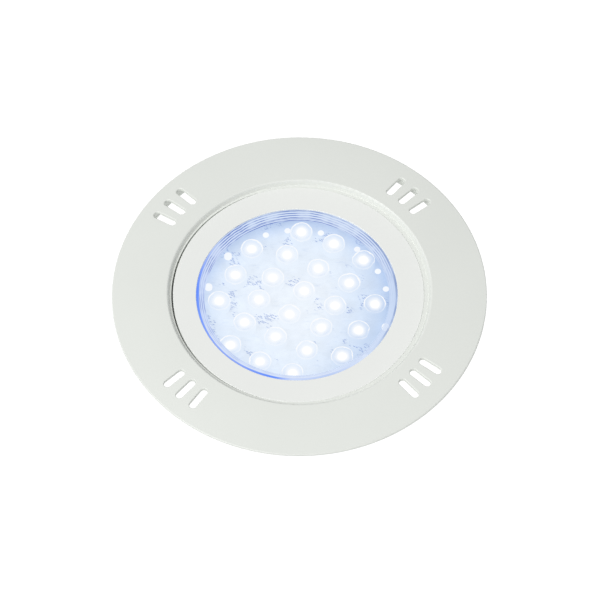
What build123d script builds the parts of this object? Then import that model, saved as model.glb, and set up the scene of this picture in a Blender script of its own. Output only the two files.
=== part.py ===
"""Underwater pool light on a bayonet wall bracket, in millimetres.

The light lies on its back: Z = 0 is the back face of the wall bracket and +Z points out of the
lit face. The Z axis is the axis of the bracket, the housing and the face ring's outer shape. The
ring's collar, ribs and skirt and the bezel's edge stand RING_X beside it, and the lens and the
parts below it OPTIC_X.
"""
import os
from math import cos, hypot, radians, sin, sqrt

from build123d import *

os.makedirs("parts", exist_ok=True)

# Driving dimensions
FACE_R = 135.0  # outer radius of the face ring
CREST_Z = 58.8  # where the flange and the wall inside it would meet in a sharp edge
BEZEL_TOP = 55.4
WINDOW_R = 72.6  # opening in the bezel
OPTIC_X = -1.8  # the axis of the lens and the light engine
RING_X = -1.2  # the axis of the face ring's collar, ribs and skirt and of the bezel's edge
FIT = 0.05  # gap between pieces that only touch
FACE_TURN = 2.6  # degrees between the face ring's own X axis and the light's

# Screws: the larger ones hold the bezel and the LED board, the smaller ones the driver
SCREW_HEAD_R = 2.75
SCREW_HEAD = 2.0
SCREW_SHANK_R = 1.25
SCREW_PILOT_R = 1.3
SCREW_CLEARANCE_R = 1.6
SMALL_HEAD_R = 2.3
SMALL_HEAD = 1.6
SMALL_SHANK_R = 0.95
SMALL_PILOT_R = 1.0
SMALL_CLEARANCE_R = 1.3

# Face ring
COLLAR_R = 91.1
COLLAR_OUTER_R = 94.2
COLLAR_BOTTOM = 46.6
COLLAR_ROOT_Z = 52.5
COLLAR_ROOT_R = 96.0
LIP_R = 89.4
LIP_Z = 55.1
LIP_OUTER_R = 93.2  # here the wall rises from the lip to the crest
LIP_EDGE = 0.5
CREST_R = 95.0
CREST_EDGE = 1.5
RIM_TOP_R = 134.2
RIM_TOP_Z = 54.3
RIM_BOTTOM_Z = 52.5
FLANGE_WALL = 2.6
DOME_RISE = 0.45  # how far the flange stands above a straight cone at its middle
SKIRT_R = 124.6
SKIRT_WALL = 2.0
SKIRT_BOTTOM_Z = 44.5
RIB_WALL = 1.6
RIB_BOTTOM_Z = 49.5
RIB_STEP = 22.0
SLOT_CENTRE = (-1.5, 1.2)
SLOT_R = 114.4
SLOT_LENGTH = 18.0
SLOT_WIDTH = 5.4
SLOT_STEP = 6.1  # degrees between the slots of one group
SLOT_HALF_GAP = 42.5  # degrees from the face ring's own X axis to a group's middle slot
SLOT_EDGE = 0.7

# Spring clips of the face ring
CLIP_WALL = 0.5
CLIP_ARC = 9.0
CLIP_ANGLES = (150.0, 210.0)
CLIP_TOP_Z = 52.4
CLIP_BOW_Z = 50.2
CLIP_INNER_FOOT_Z = 47.6
CLIP_OUTER_TOP_Z = 49.0
CLIP_BOW_GAP = 0.08  # between a clip and the bezel

# Lamp housing
HOUSING_R = 82.0
HOUSING_WALL = 3.0
HOUSING_BACK = 13.0
BACK_EDGE = 4.0
FLOOR_Z = HOUSING_BACK + HOUSING_WALL
HOUSING_FLANGE_R = 94.2
FLANGE_BOTTOM = 42.5
FLANGE_TOP = 46.0
SEAT_INNER_R = 74.2
SEAT_OUTER_R = 78.4
SEAT_Z = 48.0
SHROUD_R = 76.4  # tube that closes the gap round the LED board
SHROUD_BOTTOM = 36.0
BOARD_BOSS_R = 4.0
BOARD_PILOT_DEPTH = 12.0
DRIVER_BOSS_R = 3.2
DRIVER_PILOT_DEPTH = 4.5
BEZEL_SCREW_R = 85.75
BEZEL_SCREWS = 8
BEZEL_SCREW_TURN = 22.5
BEZEL_SCREW_LENGTH = 9.5
BEZEL_PILOT_DEPTH = 7.0

# Bezel and lens
BEZEL_BOTTOM = FLANGE_TOP + FIT
BEZEL_PLATE_Z = 52.6
BEZEL_R = COLLAR_R - FIT
BEZEL_EDGE = 0.4
RELIEF_X = RING_X + 1.64  # a wider circle takes up to 1.2 mm off the bezel's edge on the -X side,
RELIEF_R = 91.49  # where a nail or blade can lift the face ring
WINDOW_EDGE = 0.4
RECESS_R = 78.8
GROOVE_R = 82.4
GROOVE_WIDTH = 2.0
GROOVE_DEPTH = 1.6
LENS_FLANGE_R = 77.5
LENS_RIM_R = WINDOW_R - 0.3
LENS_RIM_Z = 54.9
LENS_BACK_Z = 48.8
LENS_SPIGOT_R = 73.6
LENS_STEPS = 4
STEP_WIDTH = 1.4
STEP_DROP = 0.825
GASKET_TOP = SEAT_Z + 1.4

# Light engine
BOARD_R = 73.7
BOARD_TOP = 37.2
BOARD_WALL = 1.6
PAD_WALL = 0.5
SPREADER_WALL = 2.5
PAD_TOP = BOARD_TOP - BOARD_WALL
SPREADER_TOP = PAD_TOP - PAD_WALL
SPREADER_BACK = SPREADER_TOP - SPREADER_WALL
LED_TURN = -28.5  # degrees from the X axis to the rows of the LED pattern
LED_COLUMNS = {
    0.0: (11.2, 32.7, 56.5),
    25.4: (10.5, 32.4, 54.3),
    50.2: (0.0, 25.0),
}
COLLIMATOR_R = 8.2
COLLIMATOR_TOP = 45.2
HOLDER_WALL = 0.6
PEG_CIRCLE_R = 66.0
PEG_ANGLES = (77.0, 56.0, 42.0)
PEG_HEAD_R = 2.3
PEG_HEAD = 1.3
PEG_R = 1.55
PEG_FOOT = 1.5
BOARD_SCREW_ANGLE = 13.0
BOARD_SCREW_LENGTH = 15.0
LEAD_HOLE_R = 2.6
LEAD_HOLE = (6.95, -66.1)
LEAD_START_Y = -50.0
LEAD_RUN_Z = 28.0
LEAD_R = 0.7
LEAD_HEIGHT = 1.2  # from the LED board to the middle of a lead
LEAD_SPREAD = 1.2  # from the middle of the hole to the middle of a lead
LEAD_TAIL = 2.6
LEAD_BEND_R = 1.6

# Driver
DRIVER_R = 56.0
DRIVER_BACK = 19.0
DRIVER_TOP = DRIVER_BACK + BOARD_WALL
DRIVER_SCREW_X = 36.0
DRIVER_SCREW_LENGTH = 5.5

# Cable gland, on the +Y side of the housing
GLAND_Z = 28.5
GLAND_BOSS_Y = 84.5
GLAND_BOSS_R = 12.0
GLAND_THREAD_R = 8.0
GLAND_BORE_R = 5.0
CABLE_HOLE_R = 4.2
GLAND_INNER_Y = 77.0
GLAND_HEX_Y = 85.4
GLAND_HEX_END_Y = 90.4
GLAND_SEAT_Y = 93.0
GLAND_THREAD_END_Y = 99.0
GLAND_NUT_END_Y = 104.5

# Bracket and bayonet
BRACKET_R = 78.0
BRACKET_WALL = 3.0
BRACKET_RING_R = 72.5
BRACKET_RING_OUTER_R = 77.0
BRACKET_RING_TOP = 12.0
OPENING_COLLAR_WALL = 2.0
OPENING_COLLAR_HEIGHT = 3.0
BRACKET_LUG_R = 66.5
BRACKET_LUG_BOTTOM = 8.6
BRACKET_SCREW_PCD = 100.0
BRACKET_SCREW_HOLE_R = 2.6
CABLE_OPENING_R = 22.0
BAYONET_LUGS = 4
BAYONET_FIRST = 45.0
BRACKET_LUG_ARC = 26.0
LAMP_LUG_ARC = 24.0
STOP_ARC = 3.0
STOP_GAP = 0.3  # degrees between a lug and its stop
LUG_ROOT = 1.0  # how far a lug reaches into its ring
LAMP_BOSS_R = 64.0
LAMP_BOSS_INNER_R = 58.0
LAMP_BOSS_BOTTOM = 4.0
LAMP_LUG_R = 71.5
LAMP_LUG_BOTTOM = 3.4
LAMP_LUG_TOP = 8.4


def radial_plane(angle, x=0.0):
    """An upright plane through the axis at x: its X points outwards at this angle."""
    a = radians(angle)
    return Plane(origin=(x, 0, 0), x_dir=(cos(a), sin(a), 0), z_dir=(sin(a), -cos(a), 0))


def level(z, x=0.0):
    """A level plane at this height, centred at x."""
    return Plane(origin=(x, 0, z), x_dir=(1, 0, 0), z_dir=(0, 0, 1))


def optic_plane(z):
    """A level plane centred on the lens axis and turned with the LED pattern."""
    a = radians(LED_TURN)
    return Plane(origin=(OPTIC_X, 0, z), x_dir=(cos(a), sin(a), 0), z_dir=(0, 0, 1))


def gland_plane(y):
    """A plane across the cable gland's axis, facing outwards."""
    return Plane(origin=(0, y, GLAND_Z), x_dir=(1, 0, 0), z_dir=(0, 1, 0))


def mirrored(x, y):
    """The places that two mirror lines make of one place, each once."""
    return sorted({(sx * x, sy * y) for sx in (-1, 1) for sy in (-1, 1)})


def on_circle(radius, angle):
    """A place on a circle."""
    return radius * cos(radians(angle)), radius * sin(radians(angle))


LED_PLACES = [p for x, ys in LED_COLUMNS.items() for y in ys for p in mirrored(x, y)]
PEG_PLACES = [p for angle in PEG_ANGLES for p in mirrored(*on_circle(PEG_CIRCLE_R, angle))]
BOARD_SCREW_PLACES = mirrored(*on_circle(PEG_CIRCLE_R, BOARD_SCREW_ANGLE))
DRIVER_SCREW_PLACES = mirrored(DRIVER_SCREW_X, DRIVER_SCREW_X)
BEZEL_SCREW_PLACES = [
    on_circle(BEZEL_SCREW_R, BEZEL_SCREW_TURN + i * 360 / BEZEL_SCREWS)
    for i in range(BEZEL_SCREWS)
]
BAYONET_ANGLES = [BAYONET_FIRST + i * 360 / BAYONET_LUGS for i in range(BAYONET_LUGS)]


def sector(angle, arc, r_inner, r_outer, z_bottom, z_top, mode=Mode.ADD):
    """Adds a block that follows the main axis, centred on this angle."""
    with BuildSketch(radial_plane(angle - arc / 2)) as section:
        with Locations(((r_inner + r_outer) / 2, (z_bottom + z_top) / 2)):
            Rectangle(r_outer - r_inner, z_top - z_bottom)
    revolve(section.sketch, axis=Axis.Z, revolution_arc=arc, mode=mode)


def ring(plane, r_inner, r_outer, height):
    """Adds a flat ring that stands on this plane."""
    with BuildSketch(plane) as outline:
        Circle(r_outer)
        Circle(r_inner, mode=Mode.SUBTRACT)
    extrude(outline.sketch, amount=height)


def screw(plane, places, head_r, head_height, shank_r, length):
    """Adds pan head screws: the heads stand on the plane and the shanks go down from it."""
    with BuildSketch(plane) as heads:
        with Locations(*places):
            Circle(head_r)
    extrude(heads.sketch, amount=head_height)
    with BuildSketch(plane) as shanks:
        with Locations(*places):
            Circle(shank_r)
    extrude(shanks.sketch, amount=-length)
    drive_width = head_r / 2.5
    with BuildSketch(plane.offset(head_height)) as drives:
        with Locations(*places):
            Rectangle(1.2 * head_r, drive_width)
            Rectangle(drive_width, 1.2 * head_r)
    extrude(drives.sketch, amount=-head_height / 2, mode=Mode.SUBTRACT)


# ---------------------------------------------------------------- face ring

def flange_middle_z(radius):
    """Height of the middle of the flange's wall."""
    slope = (RIM_TOP_Z - CREST_Z) / (RIM_TOP_R - CREST_R)
    return CREST_Z + slope * (radius - CREST_R) + DOME_RISE / 2 - FLANGE_WALL / 2


lip_outer = (LIP_OUTER_R, LIP_Z)
crest = (CREST_R, CREST_Z)
rim_top = (RIM_TOP_R, RIM_TOP_Z)
rim_radius = FACE_R - RIM_TOP_R
crown = ((CREST_R + RIM_TOP_R) / 2, (CREST_Z + RIM_TOP_Z) / 2 + DOME_RISE)
under_rim = (RIM_TOP_R - 0.5, RIM_BOTTOM_Z)
under_crest = (CREST_R + 1.5, CREST_Z - FLANGE_WALL)
slot_turns = [
    FACE_TURN + middle + step * SLOT_STEP
    for middle in (SLOT_HALF_GAP, 180 - SLOT_HALF_GAP, 180 + SLOT_HALF_GAP, -SLOT_HALF_GAP)
    for step in (-1, 0, 1)
]

with BuildPart() as face_ring:
    with BuildSketch(Plane.XZ):
        with BuildLine():
            Polyline((LIP_R, LIP_Z), lip_outer, crest)
            ThreePointArc(crest, crown, rim_top)
            RadiusArc(rim_top, (FACE_R, RIM_TOP_Z - rim_radius), rim_radius)
            Polyline((FACE_R, RIM_TOP_Z - rim_radius), (FACE_R, RIM_BOTTOM_Z), under_rim)
            ThreePointArc(under_rim, (crown[0], crown[1] - FLANGE_WALL), under_crest)
            Polyline(
                under_crest,
                (COLLAR_ROOT_R, under_crest[1]),
                (COLLAR_ROOT_R, COLLAR_ROOT_Z),
                (LIP_R, COLLAR_ROOT_Z),
                (LIP_R, LIP_Z),
            )
        make_face()
        fillet(vertices().sort_by_distance((*crest, 0))[0], CREST_EDGE)
        fillet(vertices().sort_by_distance((*lip_outer, 0))[0], LIP_EDGE)
    revolve(axis=Axis.Z)
    with BuildSketch(level(COLLAR_BOTTOM, RING_X)):
        Circle(COLLAR_OUTER_R)
    extrude(amount=COLLAR_ROOT_Z + 0.5 - COLLAR_BOTTOM)
    with BuildSketch(level(COLLAR_BOTTOM, RING_X)):
        Circle(COLLAR_R)
    extrude(amount=CREST_Z - COLLAR_BOTTOM, mode=Mode.SUBTRACT)
    skirt_middle = SKIRT_R + SKIRT_WALL / 2
    skirt_height = flange_middle_z(skirt_middle) - SKIRT_BOTTOM_Z
    ring(level(SKIRT_BOTTOM_Z, RING_X), SKIRT_R, SKIRT_R + SKIRT_WALL, skirt_height)
    for side in range(4):
        for step in (-1, 0, 1):
            with BuildSketch(radial_plane(FACE_TURN + side * 90 + step * RIB_STEP, RING_X)):
                rib_inner = COLLAR_OUTER_R - 1.0
                with BuildLine():
                    Polyline(
                        (rib_inner, RIB_BOTTOM_Z),
                        (skirt_middle, RIB_BOTTOM_Z),
                        (skirt_middle, flange_middle_z(skirt_middle)),
                        (crown[0], flange_middle_z(crown[0])),
                        (COLLAR_ROOT_R + 1.5, flange_middle_z(CREST_R) - 0.5),
                        (rib_inner, COLLAR_ROOT_Z + 1.0),
                        (rib_inner, RIB_BOTTOM_Z),
                    )
                make_face()
            extrude(amount=RIB_WALL / 2, both=True)
    with BuildSketch(level(CREST_Z)):
        with Locations(SLOT_CENTRE):
            for turn in slot_turns:
                with PolarLocations(SLOT_R, 1, turn):
                    SlotOverall(SLOT_LENGTH, SLOT_WIDTH)
    extrude(amount=RIB_BOTTOM_Z - CREST_Z, mode=Mode.SUBTRACT)
    slot_edges = face_ring.edges(Select.LAST).filter_by(
        lambda e: e.center().Z > flange_middle_z(hypot(e.center().X, e.center().Y)) + 0.8
    )
    fillet(slot_edges, SLOT_EDGE)
face_ring.part.label = "face_ring"
export_step(face_ring.part, "parts/face_ring.step")

# U-shaped spring clips hug the collar's lower edge and bear on the bezel's wall.
clip_inner_r = COLLAR_R - FIT - CLIP_WALL / 2
clip_outer_r = COLLAR_OUTER_R + FIT + CLIP_WALL / 2
clip_bottom_z = COLLAR_BOTTOM - FIT / 2 - CLIP_WALL / 2
relief_step = (RELIEF_X - RING_X) * cos(radians(CLIP_ANGLES[0] - CLIP_ARC / 2))
clip_bow_r = RELIEF_R + relief_step + CLIP_BOW_GAP + CLIP_WALL / 2

with BuildPart() as ring_clips:
    for angle in CLIP_ANGLES:
        with BuildSketch(radial_plane(angle - CLIP_ARC / 2, RING_X)):
            with BuildLine() as clip_line:
                Polyline(
                    (clip_inner_r - FIT, CLIP_TOP_Z),
                    (clip_bow_r, CLIP_BOW_Z),
                    (clip_inner_r, CLIP_INNER_FOOT_Z),
                    (clip_inner_r, clip_bottom_z),
                    (clip_outer_r, clip_bottom_z),
                    (clip_outer_r, CLIP_OUTER_TOP_Z),
                )
            trace(line_width=CLIP_WALL)
        revolve(axis=Axis((RING_X, 0, 0), (0, 0, 1)), revolution_arc=CLIP_ARC)
ring_clips.part.label = "ring_clips"
export_step(ring_clips.part, "parts/ring_clips.step")

# ---------------------------------------------------------------- lamp housing

with BuildPart() as rear_housing:
    with BuildSketch(Plane.XZ):
        with BuildLine():
            Polyline(
                (0, HOUSING_BACK),
                (HOUSING_R - BACK_EDGE, HOUSING_BACK),
                (HOUSING_R, HOUSING_BACK + BACK_EDGE),
                (HOUSING_R, FLANGE_BOTTOM),
                (HOUSING_FLANGE_R, FLANGE_BOTTOM),
                (HOUSING_FLANGE_R, FLANGE_TOP),
                (0, FLANGE_TOP),
                (0, HOUSING_BACK),
            )
        make_face()
    revolve(axis=Axis.Z)
    with BuildSketch(level(FLOOR_Z)):
        Circle(HOUSING_R - HOUSING_WALL)
    extrude(amount=FLANGE_BOTTOM - FLOOR_Z, mode=Mode.SUBTRACT)
    with BuildSketch(optic_plane(FLANGE_TOP)):
        Circle(SEAT_OUTER_R)
    extrude(amount=SEAT_Z - FLANGE_TOP)
    with BuildSketch(optic_plane(SEAT_Z)):
        Circle(SEAT_INNER_R)
    extrude(amount=FLANGE_BOTTOM - SEAT_Z, mode=Mode.SUBTRACT)
    ring(optic_plane(SHROUD_BOTTOM), SEAT_INNER_R, SHROUD_R, FLANGE_BOTTOM - SHROUD_BOTTOM)
    # bosses that carry the light engine and the driver
    with BuildSketch(optic_plane(FLOOR_Z)):
        with Locations(*BOARD_SCREW_PLACES):
            Circle(BOARD_BOSS_R)
    extrude(amount=SPREADER_BACK - FLOOR_Z)
    with BuildSketch(optic_plane(SPREADER_BACK)):
        with Locations(*BOARD_SCREW_PLACES):
            Circle(SCREW_PILOT_R)
    extrude(amount=-BOARD_PILOT_DEPTH, mode=Mode.SUBTRACT)
    with BuildSketch(level(FLOOR_Z)):
        with Locations(*DRIVER_SCREW_PLACES):
            Circle(DRIVER_BOSS_R)
    extrude(amount=DRIVER_BACK - FLOOR_Z)
    with BuildSketch(level(DRIVER_BACK)):
        with Locations(*DRIVER_SCREW_PLACES):
            Circle(SMALL_PILOT_R)
    extrude(amount=-DRIVER_PILOT_DEPTH, mode=Mode.SUBTRACT)
    # flat face and hole for the cable gland
    with BuildSketch(gland_plane(GLAND_BOSS_Y)):
        Circle(GLAND_BOSS_R)
    extrude(amount=HOUSING_R - HOUSING_WALL + 1.0 - GLAND_BOSS_Y)
    with BuildSketch(gland_plane(GLAND_BOSS_Y)):
        Circle(GLAND_THREAD_R)
    extrude(amount=GLAND_INNER_Y - 1.0 - GLAND_BOSS_Y, mode=Mode.SUBTRACT)
    # screw holes of the bezel
    with BuildSketch(level(FLANGE_TOP)):
        with Locations(*BEZEL_SCREW_PLACES):
            Circle(SCREW_CLEARANCE_R)
    extrude(amount=FLANGE_BOTTOM - FLANGE_TOP, mode=Mode.SUBTRACT)
    # bayonet boss and its lugs
    boss_height = HOUSING_BACK + HOUSING_WALL / 2 - LAMP_BOSS_BOTTOM
    ring(level(LAMP_BOSS_BOTTOM), LAMP_BOSS_INNER_R, LAMP_BOSS_R, boss_height)
    for angle in BAYONET_ANGLES:
        sector(
            angle, LAMP_LUG_ARC, LAMP_BOSS_R - LUG_ROOT, LAMP_LUG_R, LAMP_LUG_BOTTOM, LAMP_LUG_TOP
        )
rear_housing.part.label = "rear_housing"
export_step(rear_housing.part, "parts/rear_housing.step")

# ---------------------------------------------------------------- bezel, lens and seals

with BuildPart() as lamp_bezel:
    with BuildSketch(level(BEZEL_BOTTOM)):
        with Locations((RING_X, 0)):
            Circle(BEZEL_R)
        with Locations((RELIEF_X, 0)):
            Circle(RELIEF_R, mode=Mode.INTERSECT)
    extrude(amount=BEZEL_TOP - BEZEL_BOTTOM)
    fillet(lamp_bezel.edges().group_by(Axis.Z)[-1], BEZEL_EDGE)
    with BuildSketch(optic_plane(BEZEL_PLATE_Z)):
        Circle(RECESS_R)
    extrude(amount=BEZEL_BOTTOM - BEZEL_PLATE_Z, mode=Mode.SUBTRACT)
    with BuildSketch(optic_plane(BEZEL_TOP)):
        Circle(WINDOW_R)
    extrude(amount=BEZEL_PLATE_Z - BEZEL_TOP, mode=Mode.SUBTRACT)
    window_edge = lamp_bezel.edges().filter_by(
        lambda e: abs(e.radius - WINDOW_R) < 0.01 if e.geom_type == GeomType.CIRCLE else False
    )
    fillet(window_edge.group_by(Axis.Z)[-1], WINDOW_EDGE)
    with BuildSketch(level(BEZEL_BOTTOM)):
        Circle(GROOVE_R + GROOVE_WIDTH / 2)
        Circle(GROOVE_R - GROOVE_WIDTH / 2, mode=Mode.SUBTRACT)
    extrude(amount=GROOVE_DEPTH, mode=Mode.SUBTRACT)
    with BuildSketch(level(BEZEL_BOTTOM)):
        with Locations(*BEZEL_SCREW_PLACES):
            Circle(SCREW_PILOT_R)
    extrude(amount=BEZEL_PILOT_DEPTH, mode=Mode.SUBTRACT)
lamp_bezel.part.label = "lamp_bezel"
export_step(lamp_bezel.part, "parts/lamp_bezel.step")

with BuildPart() as bezel_screws:
    under_flange = Plane(origin=(0, 0, FLANGE_BOTTOM), x_dir=(1, 0, 0), z_dir=(0, 0, -1))
    places = [(x, -y) for x, y in BEZEL_SCREW_PLACES]
    screw(under_flange, places, SCREW_HEAD_R, SCREW_HEAD, SCREW_SHANK_R, BEZEL_SCREW_LENGTH)
bezel_screws.part.label = "bezel_screws"
export_step(bezel_screws.part, "parts/bezel_screws.step")

with BuildPart() as housing_o_ring:
    with BuildSketch(Plane.XZ):
        with Locations((GROOVE_R, BEZEL_BOTTOM + GROOVE_DEPTH / 2)):
            Circle(GROOVE_DEPTH / 2 - 0.01)
    revolve(axis=Axis.Z)
housing_o_ring.part.label = "housing_o_ring"
export_step(housing_o_ring.part, "parts/housing_o_ring.step")

with BuildPart() as lens_gasket:
    ring(optic_plane(SEAT_Z), SEAT_INNER_R + 0.3, LENS_FLANGE_R, GASKET_TOP - SEAT_Z)
lens_gasket.part.label = "lens_gasket"
export_step(lens_gasket.part, "parts/lens_gasket.step")

lens_axis = Axis((OPTIC_X, 0, 0), (0, 0, 1))
lens_front_z = LENS_RIM_Z - LENS_STEPS * STEP_DROP
stairs = []
for i in range(1, LENS_STEPS + 1):
    stairs.append((LENS_RIM_R - i * STEP_WIDTH, LENS_RIM_Z - (i - 1) * STEP_DROP))
    stairs.append((LENS_RIM_R - i * STEP_WIDTH, LENS_RIM_Z - i * STEP_DROP))

with BuildPart() as lens:
    with BuildSketch(Plane(origin=(OPTIC_X, 0, 0), x_dir=(1, 0, 0), z_dir=(0, -1, 0))):
        with BuildLine():
            Polyline(
                (0, LENS_BACK_Z),
                (LENS_SPIGOT_R, LENS_BACK_Z),
                (LENS_SPIGOT_R, GASKET_TOP + FIT),
                (LENS_FLANGE_R, GASKET_TOP + FIT),
                (LENS_FLANGE_R, BEZEL_PLATE_Z - FIT),
                (LENS_RIM_R, BEZEL_PLATE_Z - FIT),
                (LENS_RIM_R, LENS_RIM_Z),
                *stairs,
                (0, lens_front_z),
                (0, LENS_BACK_Z),
            )
        make_face()
    revolve(axis=lens_axis)
lens.part.label = "lens"
export_step(lens.part, "parts/lens.step")

# ---------------------------------------------------------------- light engine

def engine_plate(top, wall):
    """Adds a round plate of the light engine with the holes that go through all three."""
    with BuildSketch(optic_plane(top)) as outline:
        Circle(BOARD_R)
        with Locations(*PEG_PLACES, *BOARD_SCREW_PLACES):
            Circle(SCREW_CLEARANCE_R, mode=Mode.SUBTRACT)
        with Locations(LEAD_HOLE):
            Circle(LEAD_HOLE_R, mode=Mode.SUBTRACT)
    extrude(outline.sketch, amount=-wall)


with BuildPart() as heat_spreader:
    engine_plate(SPREADER_TOP, SPREADER_WALL)
heat_spreader.part.label = "heat_spreader"
export_step(heat_spreader.part, "parts/heat_spreader.step")

with BuildPart() as thermal_pad:
    engine_plate(PAD_TOP, PAD_WALL)
thermal_pad.part.label = "thermal_pad"
export_step(thermal_pad.part, "parts/thermal_pad.step")

with BuildPart() as led_board:
    engine_plate(BOARD_TOP, BOARD_WALL)
led_board.part.label = "led_board"
export_step(led_board.part, "parts/led_board.step")

EMITTER_WIDTH = 3.5
EMITTER_BASE = 0.8
DOME_R = 1.4

with BuildPart() as led_emitters:
    with BuildSketch(optic_plane(BOARD_TOP)):
        with Locations(*LED_PLACES):
            RectangleRounded(EMITTER_WIDTH, EMITTER_WIDTH, 0.3)
    extrude(amount=EMITTER_BASE)
    with BuildSketch(optic_plane(BOARD_TOP + EMITTER_BASE)):
        with Locations(*LED_PLACES):
            Circle(DOME_R)
    extrude(amount=DOME_R, taper=30)
led_emitters.part.label = "led_emitters"
export_step(led_emitters.part, "parts/led_emitters.step")

COLLIMATOR_BACK = BOARD_TOP + 1.4
COLLIMATOR_WELL_R = 2.6
COLLIMATOR_FLANGE = 1.0
flange_back = COLLIMATOR_TOP - COLLIMATOR_FLANGE

with BuildPart() as one_collimator:
    with BuildSketch(Plane.XZ):
        with BuildLine():
            Polyline(
                (0, COLLIMATOR_TOP),
                (0, COLLIMATOR_BACK + 1.8),
                (COLLIMATOR_WELL_R, COLLIMATOR_BACK + 1.8),
                (COLLIMATOR_WELL_R, COLLIMATOR_BACK),
                (4.4, COLLIMATOR_BACK),
            )
            ThreePointArc((4.4, COLLIMATOR_BACK), (6.3, COLLIMATOR_BACK + 2.6), (7.4, flange_back))
            Polyline(
                (7.4, flange_back),
                (COLLIMATOR_R, flange_back),
                (COLLIMATOR_R, COLLIMATOR_TOP),
                (0, COLLIMATOR_TOP),
            )
        make_face()
    revolve(axis=Axis.Z)

with BuildPart() as collimator_lenses:
    with Locations(optic_plane(0)):
        with Locations(*LED_PLACES):
            add(one_collimator.part)
collimator_lenses.part.label = "collimator_lenses"
export_step(collimator_lenses.part, "parts/collimator_lenses.step")

with BuildPart() as collimator_holders:
    with BuildSketch(optic_plane(BOARD_TOP)):
        with Locations(*LED_PLACES):
            Circle(COLLIMATOR_R)
            Circle(COLLIMATOR_R - HOLDER_WALL, mode=Mode.SUBTRACT)
    extrude(amount=flange_back - FIT - BOARD_TOP)
collimator_holders.part.label = "collimator_holders"
export_step(collimator_holders.part, "parts/collimator_holders.step")

with BuildPart() as board_pegs:
    with BuildSketch(optic_plane(BOARD_TOP)):
        with Locations(*PEG_PLACES):
            Circle(PEG_HEAD_R)
    extrude(amount=PEG_HEAD, taper=35)
    with BuildSketch(optic_plane(BOARD_TOP)):
        with Locations(*PEG_PLACES):
            Circle(PEG_R)
    extrude(amount=SPREADER_BACK - PEG_FOOT - BOARD_TOP)
board_pegs.part.label = "board_pegs"
export_step(board_pegs.part, "parts/board_pegs.step")

with BuildPart() as board_screws:
    screw(
        optic_plane(BOARD_TOP), BOARD_SCREW_PLACES,
        SCREW_HEAD_R, SCREW_HEAD, SCREW_SHANK_R, BOARD_SCREW_LENGTH,
    )
board_screws.part.label = "board_screws"
export_step(board_screws.part, "parts/board_screws.step")

# ---------------------------------------------------------------- driver

with BuildPart() as driver_board:
    with BuildSketch(level(DRIVER_BACK)):
        Circle(DRIVER_R)
        with Locations(*DRIVER_SCREW_PLACES):
            Circle(SMALL_CLEARANCE_R, mode=Mode.SUBTRACT)
    extrude(amount=BOARD_WALL)
driver_board.part.label = "driver_board"
export_step(driver_board.part, "parts/driver_board.step")

with BuildPart() as driver_screws:
    screw(
        level(DRIVER_TOP), DRIVER_SCREW_PLACES,
        SMALL_HEAD_R, SMALL_HEAD, SMALL_SHANK_R, DRIVER_SCREW_LENGTH,
    )
driver_screws.part.label = "driver_screws"
export_step(driver_screws.part, "parts/driver_screws.step")

CAPACITOR_PLACES = [(-30.0, 12.0), (-30.0, -2.0), (-30.0, -16.0)]

with BuildPart() as capacitors:
    with BuildSketch(level(DRIVER_TOP)):
        with Locations(*CAPACITOR_PLACES):
            Circle(5.0)
    extrude(amount=10.5)
    fillet(capacitors.edges().group_by(Axis.Z)[-1], 0.8)
capacitors.part.label = "capacitors"
export_step(capacitors.part, "parts/capacitors.step")

INDUCTOR_PLACES = [(28.0, 10.0), (28.0, -8.0)]

with BuildPart() as power_inductors:
    with BuildSketch(level(DRIVER_TOP)):
        with Locations(*INDUCTOR_PLACES):
            RectangleRounded(12.5, 12.5, 2.5)
    extrude(amount=7.5)
    chamfer(power_inductors.edges().group_by(Axis.Z)[-1], 0.6)
power_inductors.part.label = "power_inductors"
export_step(power_inductors.part, "parts/power_inductors.step")

with BuildPart() as bridge_rectifier:
    with BuildSketch(level(DRIVER_TOP)):
        with Locations((0, 20)):
            Rectangle(15.0, 6.0)
    extrude(amount=9.0)
    chamfer(bridge_rectifier.edges().filter_by(Axis.Z), 1.0)
bridge_rectifier.part.label = "bridge_rectifier"
export_step(bridge_rectifier.part, "parts/bridge_rectifier.step")

CHIP_PLACES = [(8.0, 0.0), (-8.0, 4.0), (10.0, -24.0)]

with BuildPart() as driver_chips:
    with BuildSketch(level(DRIVER_TOP)):
        with Locations(*CHIP_PLACES):
            Rectangle(5.0, 6.2)
    extrude(amount=1.6)
driver_chips.part.label = "driver_chips"
export_step(driver_chips.part, "parts/driver_chips.step")

TERMINAL_Y = 40.0
TERMINAL_HEIGHT = 9.0
POLES = [(-2.6, TERMINAL_Y), (2.6, TERMINAL_Y)]

with BuildPart() as terminal_block:
    with BuildSketch(level(DRIVER_TOP)):
        with Locations((0, TERMINAL_Y)):
            Rectangle(11.0, 8.5)
    extrude(amount=TERMINAL_HEIGHT)
    with BuildSketch(level(DRIVER_TOP + TERMINAL_HEIGHT)):
        with Locations(*POLES):
            Circle(1.9)
    extrude(amount=-5.0, mode=Mode.SUBTRACT)
    with BuildSketch(Plane(origin=(0, TERMINAL_Y + 4.25, DRIVER_TOP + 2.0), z_dir=(0, 1, 0))):
        with GridLocations(5.2, 0, 2, 1):
            Rectangle(3.4, 2.6)
    extrude(amount=-6.0, mode=Mode.SUBTRACT)
terminal_block.part.label = "terminal_block"
export_step(terminal_block.part, "parts/terminal_block.step")

with BuildPart() as terminal_screws:
    screw_foot = level(DRIVER_TOP + TERMINAL_HEIGHT - 5.0 + FIT)
    with BuildSketch(screw_foot):
        with Locations(*POLES):
            Circle(1.8)
    extrude(amount=3.6)
    with BuildSketch(screw_foot.offset(3.6)):
        with Locations(*POLES):
            Rectangle(3.0, 0.6)
    extrude(amount=-0.8, mode=Mode.SUBTRACT)
terminal_screws.part.label = "terminal_screws"
export_step(terminal_screws.part, "parts/terminal_screws.step")


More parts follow.
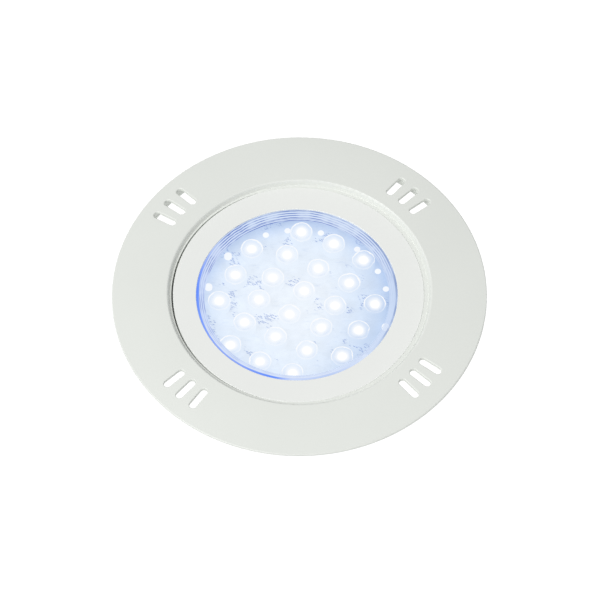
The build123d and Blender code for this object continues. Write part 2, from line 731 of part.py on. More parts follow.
def lead(side):
    """Adds one lead: from the driver board, out under the plates, up through them, onto the LEDs'."""
    x, y = LEAD_HOLE[0] + side * LEAD_SPREAD, LEAD_HOLE[1]
    top = BOARD_TOP + LEAD_HEIGHT
    corners = [
        (x, LEAD_START_Y, DRIVER_TOP),
        (x, LEAD_START_Y, LEAD_RUN_Z),
        (x, y, LEAD_RUN_Z),
        (x, y, top),
        (x + side * LEAD_TAIL, y, top),
    ]
    base = optic_plane(0)
    points = [base.from_local_coords(corner) for corner in corners]
    with BuildLine() as path:
        FilletPolyline(*points, radius=LEAD_BEND_R)
    with BuildSketch(Plane(origin=points[0], z_dir=(0, 0, 1))) as section:
        Circle(LEAD_R)
    sweep(section.sketch, path=path.wire())


with BuildPart() as lead_positive:
    lead(1)
lead_positive.part.label = "lead_positive"
export_step(lead_positive.part, "parts/lead_positive.step")

with BuildPart() as lead_negative:
    lead(-1)
lead_negative.part.label = "lead_negative"
export_step(lead_negative.part, "parts/lead_negative.step")

# ---------------------------------------------------------------- cable gland

GLAND_HEX_R = 20.0 / sqrt(3)
NUT_HEX_R = 19.0 / sqrt(3)
NUT_GAP = 0.6
NUT_HEX_LENGTH = 8.0
NUT_CROWN_R = 9.2
NUT_CROWN_EDGE = 3.0
SEAL_R = 6.0
SEAL_END_Y = 99.9
NUT_SEAT_Y = 100.0

with BuildPart() as gland_body:
    with BuildSketch(gland_plane(GLAND_INNER_Y)):
        Circle(GLAND_THREAD_R - FIT)
    extrude(amount=GLAND_THREAD_END_Y - GLAND_INNER_Y)
    with BuildSketch(gland_plane(GLAND_HEX_Y)):
        RegularPolygon(GLAND_HEX_R, 6)
    extrude(amount=GLAND_HEX_END_Y - GLAND_HEX_Y)
    with BuildSketch(gland_plane(GLAND_INNER_Y)):
        Circle(GLAND_BORE_R)
    extrude(amount=GLAND_THREAD_END_Y - GLAND_INNER_Y, mode=Mode.SUBTRACT)
    with BuildSketch(gland_plane(GLAND_SEAT_Y)):
        Circle(SEAL_R)
    extrude(amount=GLAND_THREAD_END_Y - GLAND_SEAT_Y, mode=Mode.SUBTRACT)
gland_body.part.label = "gland_body"
export_step(gland_body.part, "parts/gland_body.step")

with BuildPart() as gland_nut:
    nut_y = GLAND_HEX_END_Y + NUT_GAP
    crown_y = nut_y + NUT_HEX_LENGTH
    with BuildSketch(gland_plane(nut_y)):
        RegularPolygon(NUT_HEX_R, 6)
    extrude(amount=NUT_HEX_LENGTH)
    with BuildSketch(gland_plane(crown_y)):
        Circle(NUT_CROWN_R)
    extrude(amount=GLAND_NUT_END_Y - crown_y)
    fillet(gland_nut.edges().group_by(Axis.Y)[-1], NUT_CROWN_EDGE)
    with BuildSketch(gland_plane(nut_y)):
        Circle(GLAND_THREAD_R)
    extrude(amount=NUT_SEAT_Y - nut_y, mode=Mode.SUBTRACT)
    with BuildSketch(gland_plane(nut_y)):
        Circle(CABLE_HOLE_R)
    extrude(amount=GLAND_NUT_END_Y - nut_y, mode=Mode.SUBTRACT)
gland_nut.part.label = "gland_nut"
export_step(gland_nut.part, "parts/gland_nut.step")

with BuildPart() as gland_seal:
    seal_y = GLAND_SEAT_Y + FIT
    ring(gland_plane(seal_y), CABLE_HOLE_R, SEAL_R - FIT, SEAL_END_Y - seal_y)
gland_seal.part.label = "gland_seal"
export_step(gland_seal.part, "parts/gland_seal.step")

with BuildPart() as gland_o_ring:
    with BuildSketch(Plane(origin=(0, 0, GLAND_Z), x_dir=(1, 0, 0), z_dir=(0, 0, 1))):
        with Locations((GLAND_THREAD_R + 0.9, (GLAND_BOSS_Y + GLAND_HEX_Y) / 2)):
            Circle(0.44)
    revolve(axis=Axis((0, 0, GLAND_Z), (0, 1, 0)))
gland_o_ring.part.label = "gland_o_ring"
export_step(gland_o_ring.part, "parts/gland_o_ring.step")

# ---------------------------------------------------------------- wall bracket

with BuildPart() as wall_bracket:
    with BuildSketch():
        Circle(BRACKET_R)
        Circle(CABLE_OPENING_R, mode=Mode.SUBTRACT)
        with PolarLocations(BRACKET_SCREW_PCD / 2, 4):
            Circle(BRACKET_SCREW_HOLE_R, mode=Mode.SUBTRACT)
    extrude(amount=BRACKET_WALL)
    wall_height = BRACKET_RING_TOP - BRACKET_WALL
    ring(level(BRACKET_WALL), BRACKET_RING_R, BRACKET_RING_OUTER_R, wall_height)
    opening_collar_r = CABLE_OPENING_R + OPENING_COLLAR_WALL
    ring(level(BRACKET_WALL), CABLE_OPENING_R, opening_collar_r, OPENING_COLLAR_HEIGHT)
    for angle in BAYONET_ANGLES:
        sector(
            angle, BRACKET_LUG_ARC, BRACKET_LUG_R, BRACKET_RING_R + LUG_ROOT,
            BRACKET_LUG_BOTTOM, BRACKET_RING_TOP,
        )
        stop_angle = angle - LAMP_LUG_ARC / 2 - STOP_GAP - STOP_ARC / 2
        sector(
            stop_angle, STOP_ARC, BRACKET_LUG_R, BRACKET_RING_R + LUG_ROOT,
            BRACKET_WALL, BRACKET_RING_TOP,
        )
wall_bracket.part.label = "wall_bracket"
export_step(wall_bracket.part, "parts/wall_bracket.step")
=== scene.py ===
import math

import bmesh
import bpy
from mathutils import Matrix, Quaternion, Vector


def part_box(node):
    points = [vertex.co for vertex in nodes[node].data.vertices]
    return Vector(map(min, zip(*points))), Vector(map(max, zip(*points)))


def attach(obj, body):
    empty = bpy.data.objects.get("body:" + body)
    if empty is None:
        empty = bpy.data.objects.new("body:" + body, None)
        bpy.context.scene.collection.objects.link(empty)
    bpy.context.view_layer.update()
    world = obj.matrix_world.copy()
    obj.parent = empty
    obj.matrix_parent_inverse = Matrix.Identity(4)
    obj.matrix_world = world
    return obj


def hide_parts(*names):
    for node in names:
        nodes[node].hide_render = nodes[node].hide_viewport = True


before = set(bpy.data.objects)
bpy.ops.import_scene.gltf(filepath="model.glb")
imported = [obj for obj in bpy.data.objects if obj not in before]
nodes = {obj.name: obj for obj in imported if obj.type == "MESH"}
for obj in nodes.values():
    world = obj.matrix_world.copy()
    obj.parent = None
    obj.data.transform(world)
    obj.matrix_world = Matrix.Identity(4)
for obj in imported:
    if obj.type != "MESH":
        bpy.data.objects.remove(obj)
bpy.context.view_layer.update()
scene = bpy.context.scene

MM = 0.001
WHITE = (1, 1, 1, 1)
LED_TURN = math.radians(-28.5)

# The optical axis of the lens and of the LED pattern, read from the lens itself.
lens_low, lens_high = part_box("lens")
OPTIC = Vector(((lens_low.x + lens_high.x) / 2, (lens_low.y + lens_high.y) / 2, 0))

# Radii from that axis and steps, in millimetres.
LIT_R = 75.0  # just inside the housing's tube round the LED board
BORDER_R = 66.7  # where the lens's border begins
SHADE_R = 71.15  # where the bezel's edge begins to shade the border
BLUE_THIN_R = 71.2  # inner side of the blue edge where it is thin
BLUE_WIDE_R = 68.2  # and where it would be at its widest
STEP_PITCH = 1.4  # of the lines in the border
BLUR = 0.2  # half the width of a soft limit

TUBE_FOOT_Z = 31.0 * MM


def srgb(r, g, b):
    """A linear colour from 0-255 screen values."""
    out = []
    for v in (r, g, b):
        v /= 255
        out.append(v / 12.92 if v <= 0.04045 else ((v + 0.055) / 1.055) ** 2.4)
    return (*out, 1.0)


class Tree:
    """A small helper that builds one node material."""

    def __init__(self, name):
        self.open(bpy.data.materials.new(name))
        self.nodes.clear()
        self.output = self.nodes.new("ShaderNodeOutputMaterial")

    def open(self, material):
        self.material = material
        material.use_nodes = True
        self.nodes = material.node_tree.nodes
        self.links = material.node_tree.links

    @classmethod
    def of(cls, material):
        """Opens a finished material again."""
        t = cls.__new__(cls)
        t.open(material)
        t.output = next(n for n in t.nodes if n.type == "OUTPUT_MATERIAL")
        return t

    def put(self, socket, value):
        if isinstance(value, bpy.types.NodeSocket):
            self.links.new(value, socket)
        else:
            socket.default_value = value

    def node(self, kind, inputs=None, out=0, **settings):
        n = self.nodes.new("ShaderNode" + kind)
        for key, value in settings.items():
            setattr(n, key, value)
        for key, value in (inputs or {}).items():
            self.put(n.inputs[key], value)
        return n.outputs[out]

    def math(self, operation, a, b=0.0):
        return self.node("Math", {0: a, 1: b}, operation=operation)

    def ramp(self, factor, *stops):
        n = self.nodes.new("ShaderNodeValToRGB")
        while len(n.color_ramp.elements) < len(stops):
            n.color_ramp.elements.new(0.5)
        for element, (position, colour) in zip(n.color_ramp.elements, stops):
            element.position = position
            element.color = colour if hasattr(colour, "__len__") else (colour, colour, colour, 1)
        self.put(n.inputs[0], factor)
        return n.outputs[0]

    def mix(self, factor, a, b, blend="MIX"):
        n = self.nodes.new("ShaderNodeMix")
        n.data_type = "RGBA"
        n.blend_type = blend
        for socket, value in ((n.inputs[0], factor), (n.inputs[6], a), (n.inputs[7], b)):
            self.put(socket, value)
        return n.outputs[2]

    def map_range(self, value, low, high, to_low=0.0, to_high=1.0, smooth=False):
        n = self.nodes.new("ShaderNodeMapRange")
        n.interpolation_type = "SMOOTHSTEP" if smooth else "LINEAR"
        for i, v in enumerate((value, low, high, to_low, to_high)):
            self.put(n.inputs[i], v)
        return n.outputs[0]

    def place(self):
        return self.node("TexCoord", out=3)

    def noise(self, scale, detail=2.0, roughness=0.5, vector=None):
        where = vector or self.place()
        return self.node(
            "TexNoise", {"Vector": where, "Scale": scale, "Detail": detail, "Roughness": roughness}
        )

    def bump(self, height, strength, distance):
        return self.node("Bump", {"Height": height, "Strength": strength, "Distance": distance})

    def edges(self, radius):
        """1 on sharp edges, 0 on open faces."""
        rounded = self.node("Bevel", {"Radius": radius}, samples=4)
        flat = self.node("NewGeometry", out=1)
        dot = self.node("VectorMath", {0: rounded, 1: flat}, out=1, operation="DOT_PRODUCT")
        return self.map_range(dot, 0.995, 0.90)

    def surface(self, shader):
        self.links.new(shader, self.output.inputs[0])
        return self.material


VARIATION = 0.025
EDGE_HIGHLIGHT = 0.03
EDGE_R = 0.4 * MM
GRAIN_HEIGHT = 0.3 * MM
TOOL_LINE_HEIGHT = 0.2 * MM


def moulded(name, colour, roughness, grain=900.0, depth=0.02):
    """Injection moulded plastic: faint colour drift, fine spark-eroded grain, and edges made lighter by a
    painted highlight.
    """
    t = Tree(name)
    drift = t.noise(14.0, 3.0)
    low = tuple(c * (1 - VARIATION) for c in colour[:3]) + (1,)
    high = tuple(min(1, c * (1 + VARIATION)) for c in colour[:3]) + (1,)
    base = t.mix(drift, low, high)
    # painted highlight: the edges are made a little lighter
    edge_highlight_colour = tuple(min(1, c + (1 - c) * 0.5) for c in colour[:3]) + (1,)
    base = t.mix(t.math("MULTIPLY", t.edges(EDGE_R), EDGE_HIGHLIGHT), base, edge_highlight_colour)
    fine = t.noise(grain, 2.0, 0.6)
    rough = t.map_range(t.noise(40.0, 4.0), 0.3, 0.7, roughness - 0.05, roughness + 0.05)
    return t.surface(
        t.node(
            "BsdfPrincipled",
            {
                "Base Color": base,
                "Roughness": rough,
                "Specular IOR Level": 0.4,
                "Normal": t.bump(fine, depth, GRAIN_HEIGHT),
            },
        )
    )


def metal(name, colour, roughness):
    """Machined or plated metal with fine tool lines."""
    t = Tree(name)
    stretched = t.node("Mapping", {"Vector": t.place(), "Scale": (1.0, 1.0, 30.0)})
    lines = t.noise(60.0, 4.0, 0.6, stretched)
    base = t.mix(lines, tuple(c * 0.9 for c in colour[:3]) + (1,), colour)
    rough = t.map_range(lines, 0.3, 0.7, roughness - 0.08, roughness + 0.1)
    return t.surface(
        t.node(
            "BsdfPrincipled",
            {
                "Base Color": base,
                "Metallic": 1.0,
                "Roughness": rough,
                "Normal": t.bump(lines, 0.05, TOOL_LINE_HEIGHT),
            },
        )
    )


# ------------------------------------------------------------------ lit parts behind the lens

def optic_radius(t):
    """The distance from the lens axis in millimetres, and the place measured from that axis."""
    shifted = t.node("VectorMath", {0: t.place(), 1: OPTIC}, operation="SUBTRACT")
    flat = t.node("VectorMath", {0: shifted, 1: (1, 1, 0)}, operation="MULTIPLY")
    length = t.node("VectorMath", {0: flat}, out=1, operation="LENGTH")
    return t.math("MULTIPLY", length, 1 / MM), shifted


def glow(t):
    """The light that fills the lamp: brightest in the middle, dimmer at the edge and on the right.

    Gives its colour, the distance from the lens axis and the place measured from it.
    """
    radius, shifted = optic_radius(t)
    colour = t.ramp(
        t.math("DIVIDE", radius, LIT_R),
        (0.0, srgb(243, 249, 255)),
        (0.32, srgb(240, 247, 255)),
        (0.56, srgb(236, 245, 255)),
        (0.72, srgb(232, 242, 254)),
        (0.82, srgb(226, 238, 253)),
        (0.92, srgb(205, 222, 247)),
        (1.0, srgb(184, 204, 236)),
    )
    side = t.node("VectorMath", {0: shifted, 1: (0.97, -0.25, 0)}, out=1, operation="DOT_PRODUCT")
    dim = t.map_range(side, 0.018, 0.070, 0.0, 0.85)
    return t.mix(dim, colour, t.mix(1.0, colour, srgb(214, 226, 243), "MULTIPLY")), radius, shifted


def lit(name, scale, white=0.0):
    """A pale part inside the lamp, lit by the LEDs."""
    t = Tree(name)
    colour, _, _ = glow(t)
    colour = t.mix(white, colour, WHITE)
    spots = t.map_range(t.noise(60.0, 3.0, 0.6), 0.3, 0.7, 0.97, 1.03)
    strength = t.math("MULTIPLY", spots, scale)
    glowing = t.node("Emission", {"Color": colour, "Strength": strength})
    gloss = t.node("BsdfPrincipled", {"Base Color": (0.8, 0.85, 0.9, 1), "Roughness": 0.35})
    return t.surface(t.node("MixShader", {0: 0.04, 1: glowing, 2: gloss}))


def board_material():
    """The white board in its own light, with blotches, small printed dashes and faint streaks."""
    t = Tree("led_board_lit")
    colour, _, shifted = glow(t)
    blotches = t.map_range(t.noise(85.0, 5.0, 0.7), 0.32, 0.68, 0.94, 1.04)
    # short printed dashes in patches, turned with the LED rows
    turned = t.node("Mapping", {"Vector": shifted, "Rotation": (0, 0, -LED_TURN)})
    brick = t.node(
        "TexBrick",
        {
            "Vector": turned,
            "Color1": (0, 0, 0, 1),
            "Color2": WHITE,
            "Mortar": (0, 0, 0, 1),
            "Scale": 300.0,
            "Mortar Size": 0.06,
            "Brick Width": 0.62,
            "Row Height": 0.30,
        },
    )
    patches = t.map_range(t.noise(75.0, 1.0, 0.4, shifted), 0.585, 0.64)
    dashes = t.math("MULTIPLY", t.map_range(brick, 0.5, 0.7), patches)
    colour = t.mix(t.math("MULTIPLY", dashes, 0.75), colour, srgb(128, 154, 212))
    # faint streaks where the optics bend the light
    bent = t.node(
        "Mapping", {"Vector": shifted, "Rotation": (0, 0, math.radians(-40)), "Scale": (1.0, 4.0, 1.0)}
    )
    streaks = t.map_range(t.noise(110.0, 4.0, 0.7, bent), 0.56, 0.68, 0.0, 0.25)
    colour = t.mix(streaks, colour, t.mix(1.0, colour, srgb(214, 225, 246), "MULTIPLY"))
    glowing = t.node("Emission", {"Color": colour, "Strength": blotches})
    mask = t.node("BsdfPrincipled", {"Base Color": (0.85, 0.88, 0.9, 1), "Roughness": 0.3})
    return t.surface(t.node("MixShader", {0: 0.04, 1: glowing, 2: mask}))


def collimator_material():
    """The LED light painted into one collimator as glow; reads the place inside it from the UV map: 0.5,
    0.5 is its axis.
    """
    t = Tree("collimator_pmma")
    uv = t.node("VectorMath", {0: t.node("UVMap"), 1: (0.5, 0.5, 0)}, operation="SUBTRACT")
    radius = t.math("MULTIPLY", t.node("VectorMath", {0: uv}, out=1, operation="LENGTH"), 2.0)
    split = t.nodes.new("ShaderNodeSeparateXYZ")
    t.links.new(uv, split.inputs[0])
    up = t.math("MULTIPLY", split.outputs[1], 2.0)
    surround, _, _ = glow(t)
    uneven = t.noise(150.0, 3.0, 0.6)
    waver = t.math("ADD", radius, t.map_range(uneven, 0.3, 0.7, -0.085, 0.085))

    # the white core of the light
    core = t.ramp(
        waver,
        (0.0, 1.0), (0.33, 1.0), (0.42, 0.86), (0.51, 0.66),
        (0.60, 0.42), (0.70, 0.24), (0.80, 0.13), (0.92, 0.05),
    )

    # painted highlight on the thin rim, stronger on the far side
    rim_highlight = t.map_range(t.math("ABSOLUTE", t.math("SUBTRACT", waver, 0.93)), 0.07, 0.025, smooth=True)
    rim_highlight = t.math("MULTIPLY", rim_highlight, t.map_range(up, -0.6, 0.7, 0.42, 1.5, smooth=True))
    rim_highlight = t.math("MULTIPLY", rim_highlight, t.map_range(t.noise(90.0), 0.35, 0.6, 0.5, 1.2))
    rim_highlight = t.math("MINIMUM", rim_highlight, 1.0)

    # painted shade: faint blue ripples between the two, on the near left side
    shade_ripples = t.math("FRACT", t.math("MULTIPLY", waver, 9.0))
    shade_ripples = t.map_range(t.math("ABSOLUTE", t.math("SUBTRACT", shade_ripples, 0.5)), 0.3, 0.5, smooth=True)
    near = t.math("ADD", up, t.math("MULTIPLY", split.outputs[0], 0.8))
    near = t.map_range(near, 0.3, -0.9, 0.15, 1.0)
    outer = t.ramp(radius, (0.5, 0.0), (0.66, 1.0), (0.85, 1.0), (0.92, 0.0))
    shade_ripples = t.math("MULTIPLY", t.math("MULTIPLY", shade_ripples, near), t.math("MULTIPLY", outer, 0.9))
    shade_ripples = t.math("MULTIPLY", shade_ripples, t.map_range(uneven, 0.45, 0.6))

    colour = t.mix(shade_ripples, surround, t.mix(1.0, surround, srgb(190, 205, 240), "MULTIPLY"))
    colour = t.mix(t.math("MAXIMUM", core, rim_highlight), colour, WHITE)
    strength = t.ramp(radius, (0.0, 1.0), (0.30, 0.9), (0.46, 0.0))
    strength = t.map_range(strength, 0.0, 1.0, 1.0, 1.15)
    glowing = t.node("Emission", {"Color": colour, "Strength": strength})
    gloss = t.node("BsdfPrincipled", {"Base Color": (0.9, 0.93, 0.97, 1), "Roughness": 0.08})
    return t.surface(t.node("MixShader", {0: 0.03, 1: glowing, 2: gloss}))


def lens_material():
    """Clear in the middle; over the steps of the rim, painted light in blue and pale lines that change
    round the lens.
    """
    t = Tree("clear_polycarbonate")
    radius, shifted = optic_radius(t)
    split = t.nodes.new("ShaderNodeSeparateXYZ")
    t.links.new(shifted, split.inputs[0])
    angle = t.math("ARCTAN2", split.outputs[1], split.outputs[0])
    turn = t.math("FRACT", t.math("DIVIDE", angle, 2 * math.pi))

    # painted shade: dark lines that follow the steps and waver
    wobble = t.map_range(t.noise(42.0, 3.0, 0.6), 0.3, 0.7, -0.45, 0.45)
    line = t.math("FRACT", t.math("DIVIDE", t.math("ADD", radius, wobble), STEP_PITCH))
    lines = t.map_range(t.math("ABSOLUTE", t.math("SUBTRACT", line, 0.5)), 0.18, 0.38, smooth=True)
    breaks = t.map_range(t.noise(95.0, 2.0, 0.55), 0.38, 0.60, 0.25, 1.0)
    contrast = t.ramp(
        turn,
        (0.0, 0.2), (0.06, 0.6), (0.18, 0.8), (0.24, 0.95), (0.31, 1.0), (0.37, 1.0),
        (0.42, 0.8), (0.5, 0.6), (0.62, 0.35), (0.74, 0.2), (0.9, 0.12), (1.0, 0.15),
    )
    band = t.ramp(
        turn,
        (0.0, srgb(214, 228, 250)),
        (0.07, srgb(214, 228, 250)),
        (0.18, srgb(218, 231, 251)),
        (0.26, srgb(214, 228, 249)),
        (0.35, srgb(212, 227, 250)),
        (0.41, srgb(208, 222, 249)),
        (0.50, srgb(208, 223, 252)),
        (0.58, srgb(212, 226, 252)),
        (0.70, srgb(214, 227, 252)),
        (0.80, srgb(218, 230, 252)),
        (1.0, srgb(214, 228, 250)),
    )
    dark = t.mix(1.0, band, srgb(84, 116, 196), "MULTIPLY")
    depth = t.math("MULTIPLY", t.math("MULTIPLY", lines, contrast), breaks)
    colour = t.mix(depth, band, dark)

    # painted light: a saturated blue edge on the left, thinner towards the bottom
    blue = t.ramp(
        turn,
        (0.38, srgb(176, 198, 244)),
        (0.44, srgb(140, 170, 250)),
        (0.49, srgb(104, 146, 254)),
        (0.54, srgb(122, 158, 252)),
        (0.60, srgb(146, 172, 247)),
        (0.66, srgb(138, 166, 248)),
        (0.70, srgb(104, 146, 251)),
        (0.715, srgb(112, 152, 252)),
        (0.74, srgb(205, 219, 251)),
        (0.80, srgb(188, 206, 245)),
        (0.86, srgb(216, 228, 251)),
    )
    inner = t.ramp(
        turn, (0.40, 0.0), (0.5, 0.2), (0.56, 0.08), (0.62, 0.0), (0.70, 0.3), (0.8, 0.25), (0.86, 0.0)
    )
    inner = t.map_range(inner, 0.0, 1.0, BLUE_THIN_R, BLUE_WIDE_R)
    edge = t.math("SUBTRACT", t.math("ADD", radius, t.math("MULTIPLY", wobble, 0.5)), inner)
    blue_mask = t.map_range(edge, -0.35, 0.35, smooth=True)
    where = t.ramp(turn, (0.37, 0.0), (0.45, 1.0), (0.86, 1.0), (0.90, 0.0))
    colour = t.mix(t.math("MULTIPLY", blue_mask, where), colour, blue)

    # dark stretches right under the bezel's edge
    under = t.map_range(radius, SHADE_R - 0.25, SHADE_R + 0.25, smooth=True)
    right = t.ramp(
        turn,
        (0.0, 0.8), (0.03, 0.75), (0.06, 0.5), (0.12, 0.7), (0.16, 0.3), (0.30, 0.5), (0.40, 0.0),
        (0.88, 0.0), (0.92, 0.7), (1.0, 0.8),
    )
    patches = t.map_range(t.noise(60.0, 2.0, 0.5), 0.40, 0.55, 0.35, 1.0)
    shade = t.math("MULTIPLY", t.math("MULTIPLY", under, right), patches)
    colour = t.mix(shade, colour, srgb(112, 136, 190))

    # painted highlight: the pale line beside the blue edge
    pale_highlight = t.map_range(t.math("ABSOLUTE", t.math("ADD", edge, 0.75)), 0.35, 0.0, 0.0, 0.8, smooth=True)
    at_left = t.ramp(turn, (0.52, 0.0), (0.56, 1.0), (0.80, 0.9), (0.84, 0.0))
    colour = t.mix(t.math("MULTIPLY", pale_highlight, at_left), colour, srgb(240, 245, 255))
    # painted light: the border glows with the lamp's light, its lines, edge and shade included
    rim = t.node("Emission", {"Color": colour, "Strength": 1.0})

    # the clear window, and how much the border's painted glow hides of it
    clear = t.node("BsdfTransparent", {"Color": (0.985, 0.99, 1.0, 1)})
    gloss = t.node("BsdfGlossy", {"Color": WHITE, "Roughness": 0.12})
    shine = t.node("LayerWeight", {"Blend": 0.15})
    window = t.node("MixShader", {0: t.math("MULTIPLY", shine, 0.10), 1: clear, 2: gloss})
    glow_cover = t.ramp(
        turn,
        (0.0, 0.45), (0.04, 0.6), (0.09, 0.85), (0.2, 0.9), (0.28, 0.97), (0.45, 0.95),
        (0.70, 0.85), (0.78, 0.7), (0.88, 0.5), (1.0, 0.45),
    )
    glow_cover = t.math("MAXIMUM", glow_cover, shade)
    glow_cover = t.math("MAXIMUM", glow_cover, t.math("MULTIPLY", blue_mask, where))
    at_rim = t.math("MULTIPLY", t.map_range(radius, BORDER_R - BLUR, BORDER_R + BLUR), glow_cover)
    return t.surface(t.node("MixShader", {0: at_rim, 1: window, 2: rim}))


def housing_material(colour):
    """Moulded outside; the tube round the LED board is lit by it."""
    material = moulded("housing_abs", colour, 0.5)
    t = Tree.of(material)
    outside = t.output.inputs[0].links[0].from_socket
    shade, radius, shifted = glow(t)
    height = t.nodes.new("ShaderNodeSeparateXYZ")
    t.links.new(shifted, height.inputs[0])
    streaks = t.map_range(t.noise(120.0, 3.0, 0.6), 0.3, 0.7, 0.86, 1.06)
    dimmed = t.mix(1.0, shade, srgb(222, 232, 248), "MULTIPLY")
    lit_wall = t.node("Emission", {"Color": dimmed, "Strength": streaks})
    inside = t.map_range(radius, LIT_R, LIT_R - BLUR)
    above = t.map_range(height.outputs[2], TUBE_FOOT_Z - MM, TUBE_FOOT_Z + MM)
    return t.surface(t.node("MixShader", {0: t.math("MULTIPLY", inside, above), 1: outside, 2: lit_wall}))


def paint(material, *names):
    for name in names:
        mesh = nodes[name].data
        mesh.materials.clear()
        mesh.materials.append(material)


paint(moulded("white_abs", srgb(232, 235, 230), 0.40), "face_ring")
paint(moulded("bezel_abs", srgb(240, 242, 239), 0.36), "lamp_bezel")
paint(housing_material(srgb(205, 208, 206)), "rear_housing")
paint(moulded("bracket_abs", srgb(222, 225, 221), 0.5), "wall_bracket")
paint(moulded("gland_nylon", srgb(210, 212, 210), 0.45, 500.0, 0.05), "gland_body", "gland_nut")
paint(
    moulded("black_rubber", (0.02, 0.02, 0.021, 1), 0.75, 700.0, 0.2),
    "housing_o_ring", "gland_o_ring", "gland_seal",
)
paint(moulded("clear_silicone", srgb(225, 230, 233), 0.3), "lens_gasket")
paint(moulded("grey_silicone_pad", srgb(150, 152, 156), 0.8), "thermal_pad")
paint(metal("stainless", srgb(200, 202, 205), 0.25), "bezel_screws", "driver_screws", "ring_clips")
paint(metal("aluminium_plate", srgb(205, 207, 210), 0.4), "heat_spreader")
paint(metal("plated_brass", srgb(205, 190, 150), 0.25), "terminal_screws")
paint(moulded("board_green", (0.02, 0.11, 0.05, 1), 0.35, 300.0, 0.05), "driver_board")
paint(
    moulded("black_epoxy", (0.018, 0.018, 0.02, 1), 0.55, 900.0, 0.1),
    "power_inductors", "bridge_rectifier", "driver_chips",
)
paint(moulded("capacitor_sleeve", (0.02, 0.03, 0.09, 1), 0.3), "capacitors")
paint(moulded("terminal_green", (0.03, 0.22, 0.08, 1), 0.45), "terminal_block")
paint(moulded("lead_red", (0.5, 0.02, 0.02, 1), 0.4), "lead_positive")
paint(moulded("lead_black", (0.02, 0.02, 0.02, 1), 0.4), "lead_negative")
paint(board_material(), "led_board")
paint(lit("holder_lit", 1.0), "collimator_holders")
paint(lit("peg_lit", 1.03, 0.85), "board_pegs")
paint(lit("screw_lit", 1.02, 0.8), "board_screws")
paint(lit("led_phosphor", 1.6), "led_emitters")
paint(lens_material(), "lens")


# ------------------------------------------------------------------ collimators

LED_COLUMNS = {0.0: (11.2, 32.7, 56.5), 25.4: (10.5, 32.4, 54.3), 50.2: (0.0, 25.0)}
COLLIMATOR_R = 8.2
SEGMENTS = 48
low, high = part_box("collimator_lenses")
TOP = high.z / MM
BACK = low.z / MM

places = sorted({
    (sx * x, sy * y) for x, ys in LED_COLUMNS.items() for y in ys for sx in (-1, 1) for sy in (-1, 1)
})
# one collimator's section: out from its axis over the dished top, down its rim and back along the cone
profile = (
    (0.0, TOP - 0.9), (2.0, TOP - 0.85), (4.0, TOP - 0.7), (5.6, TOP - 0.5), (6.8, TOP - 0.3),
    (7.1, TOP - 0.05), (7.4, TOP), (7.9, TOP), (COLLIMATOR_R, TOP - 0.3), (COLLIMATOR_R, TOP - 1.0),
    (7.4, TOP - 1.05), (6.3, BACK + 2.6), (4.4, BACK), (2.6, BACK), (2.6, BACK + 1.8), (0.0, BACK + 1.8),
)

bm = bmesh.new()
uv_layer = bm.loops.layers.uv.new("UVMap")


def ring(cx, cy, r, z):
    """The vertices of one ring of a collimator, or the single one on its axis."""
    if r == 0:
        return [bm.verts.new((cx * MM, cy * MM, z * MM))]
    turns = [2 * math.pi * i / SEGMENTS for i in range(SEGMENTS)]
    return [
        bm.verts.new(((cx + r * math.cos(a)) * MM, (cy + r * math.sin(a)) * MM, z * MM)) for a in turns
    ]


for u, v in places:
    cx = OPTIC.x / MM + u * math.cos(LED_TURN) - v * math.sin(LED_TURN)
    cy = OPTIC.y / MM + u * math.sin(LED_TURN) + v * math.cos(LED_TURN)
    rings = [ring(cx, cy, r, z) for r, z in profile]
    for a, b in zip(rings, rings[1:]):
        for i in range(SEGMENTS):
            j = (i + 1) % SEGMENTS
            if len(a) == 1:
                corners = (a[0], b[i], b[j])
            elif len(b) == 1:
                corners = (a[i], b[0], a[j])
            else:
                corners = (a[i], b[i], b[j], a[j])
            face = bm.faces.new(corners)
            face.smooth = True
            for loop in face.loops:
                x, y, _ = loop.vert.co / MM
                loop[uv_layer].uv = (
                    0.5 + (x - cx) / (2 * COLLIMATOR_R),
                    0.5 + (y - cy) / (2 * COLLIMATOR_R),
                )
mesh = bpy.data.meshes.new("collimators")
bm.to_mesh(mesh)
bm.free()
mesh.materials.append(collimator_material())
collimators = bpy.data.objects.new("collimators", mesh)
scene.collection.objects.link(collimators)
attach(collimators, "lamp")
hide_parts("collimator_lenses")

# ------------------------------------------------------------------ floor, light and camera

FLOOR_Z = -0.4 * MM
FLOOR_CORNERS = ((-6, -6), (6, -6), (6, 6), (-6, 6))
SEEN_WHITE = 1.1  # the floor and the sky as the camera sees them
FLOOR_LIGHT = 0.85  # the light that the floor gives
SKY_LIGHT = 0.44  # the light that the sky gives
SUN_STRENGTH = 1.95
SUN_ANGLE = math.radians(40)
SUN_FROM = (-0.42, -0.38, 0.82)

floor_mesh = bpy.data.meshes.new("floor")
floor_mesh.from_pydata([(x, y, FLOOR_Z) for x, y in FLOOR_CORNERS], [], [(0, 1, 2, 3)])
floor = bpy.data.objects.new("floor", floor_mesh)
scene.collection.objects.link(floor)
t = Tree("floor_white")
seen = t.node("Emission", {"Color": WHITE, "Strength": SEEN_WHITE})
lights = t.node("Emission", {"Color": WHITE, "Strength": FLOOR_LIGHT})
floor_mesh.materials.append(
    t.surface(t.node("MixShader", {0: t.node("LightPath"), 1: lights, 2: seen}))
)

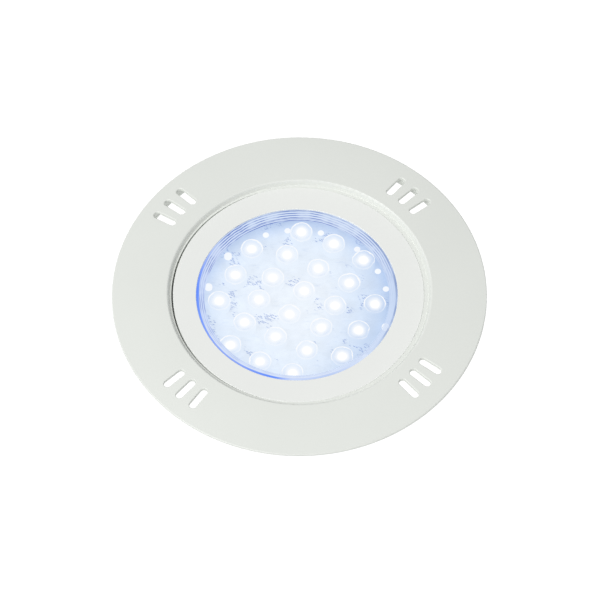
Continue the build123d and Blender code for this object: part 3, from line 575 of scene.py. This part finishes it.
world = bpy.data.worlds.new("soft_studio")
scene.world = world
world.use_nodes = True
sky = world.node_tree
sky.nodes["Background"].inputs[1].default_value = SKY_LIGHT
sky.nodes["Background"].inputs[0].default_value = WHITE
shown = sky.nodes.new("ShaderNodeBackground")
shown.inputs[0].default_value = WHITE
shown.inputs[1].default_value = SEEN_WHITE
chosen = sky.nodes.new("ShaderNodeMixShader")
sky.links.new(sky.nodes.new("ShaderNodeLightPath").outputs[0], chosen.inputs[0])
sky.links.new(sky.nodes["Background"].outputs[0], chosen.inputs[1])
sky.links.new(shown.outputs[0], chosen.inputs[2])
sky.links.new(chosen.outputs[0], sky.nodes["World Output"].inputs[0])

sun = bpy.data.lights.new("key_light", "SUN")
sun.energy = SUN_STRENGTH
sun.angle = SUN_ANGLE
key_light = bpy.data.objects.new("key_light", sun)
key_light.rotation_mode = "QUATERNION"
key_light.rotation_quaternion = Vector(SUN_FROM).to_track_quat("Z", "Y")
scene.collection.objects.link(key_light)

SENSOR_MM = 36
CAMERA_AIM_Z = 52.3 * MM
CAMERA_RIGHT = 0.4 * MM
CAMERA_DOWN = 2.3 * MM
ELEVATION = math.radians(58.0)
ROLL = math.radians(0.5)
DISTANCE = 20.0
VIEW_WIDTH = 0.432
back = Vector((0, -math.cos(ELEVATION), math.sin(ELEVATION)))
right = Vector((1, 0, 0))
up = back.cross(right)
target = Vector((0, 0, CAMERA_AIM_Z)) + right * CAMERA_RIGHT - up * CAMERA_DOWN

camera_data = bpy.data.cameras.new("photo_camera")
camera = bpy.data.objects.new("photo_camera", camera_data)
scene.collection.objects.link(camera)
scene.camera = camera
camera_data.sensor_width = SENSOR_MM
camera_data.lens = SENSOR_MM * DISTANCE / VIEW_WIDTH
camera_data.clip_end = 5 * DISTANCE
camera.rotation_mode = "QUATERNION"
camera.location = target + back * DISTANCE
camera.rotation_quaternion = back.to_track_quat("Z", "Y") @ Quaternion((0, 0, 1), -ROLL)

scene.view_settings.view_transform = "Standard"
scene.view_settings.look = "None"
scene.cycles.use_denoising = True
